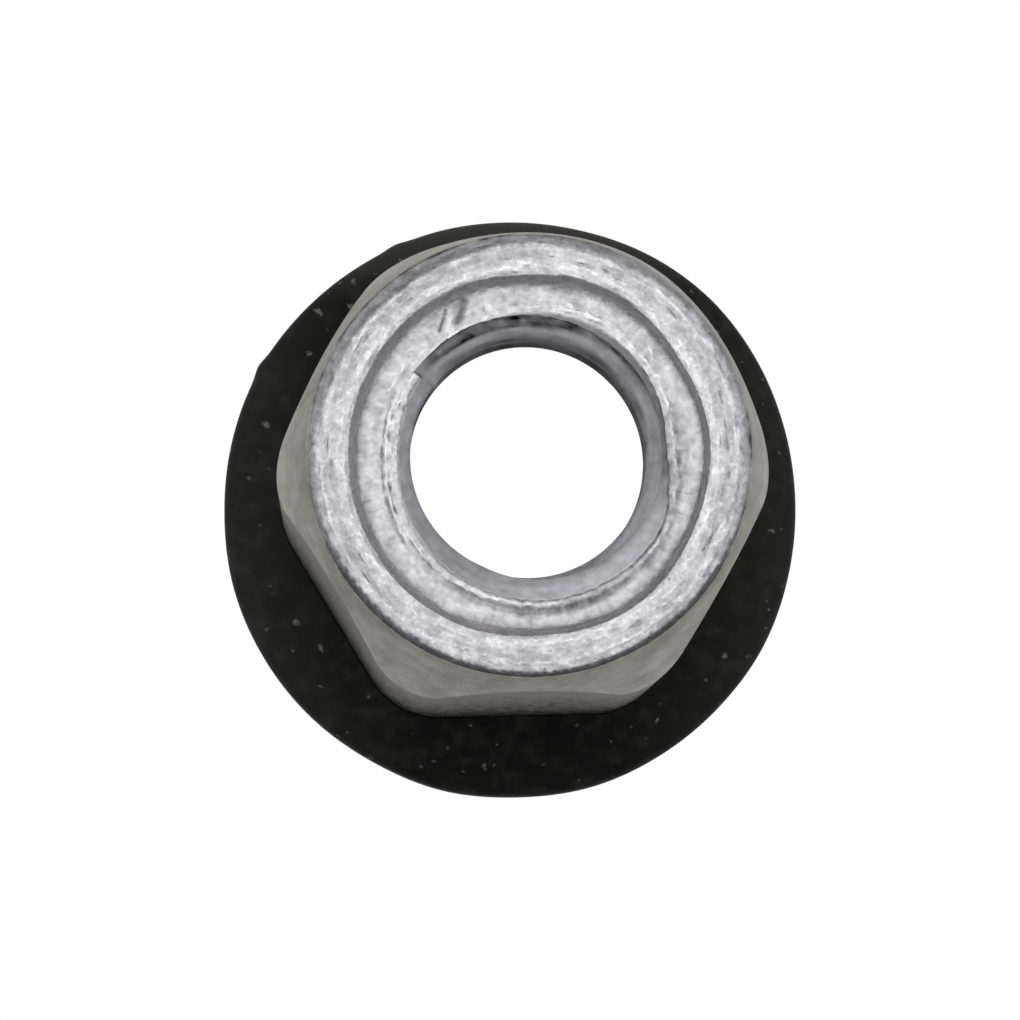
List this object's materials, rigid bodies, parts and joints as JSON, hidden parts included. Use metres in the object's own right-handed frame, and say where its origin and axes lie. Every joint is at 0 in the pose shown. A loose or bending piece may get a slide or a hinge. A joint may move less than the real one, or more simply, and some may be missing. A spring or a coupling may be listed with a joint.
{
  "type": "rivet nut",
  "caption": "Blind rivet nut with a rounded hexagonal body, a steep conical nose, a round flange and a black seal ring under its head.",
  "frame": {"origin": "centre of the flange's front face, which is the lowest face", "axes": "+Z along the bore towards the nose, +X towards a corner of the hexagon"},
  "size_m": [0.0182, 0.0182, 0.0186],
  "materials": {
    "plated_steel": "zinc plated, satin, mottled on the nose's end face",
    "seal_rubber": "matte black"
  },
  "bodies": {
    "root": {"rivet_nut_body": "plated_steel", "seal_ring": "seal_rubber"}
  },
  "joints": []
}
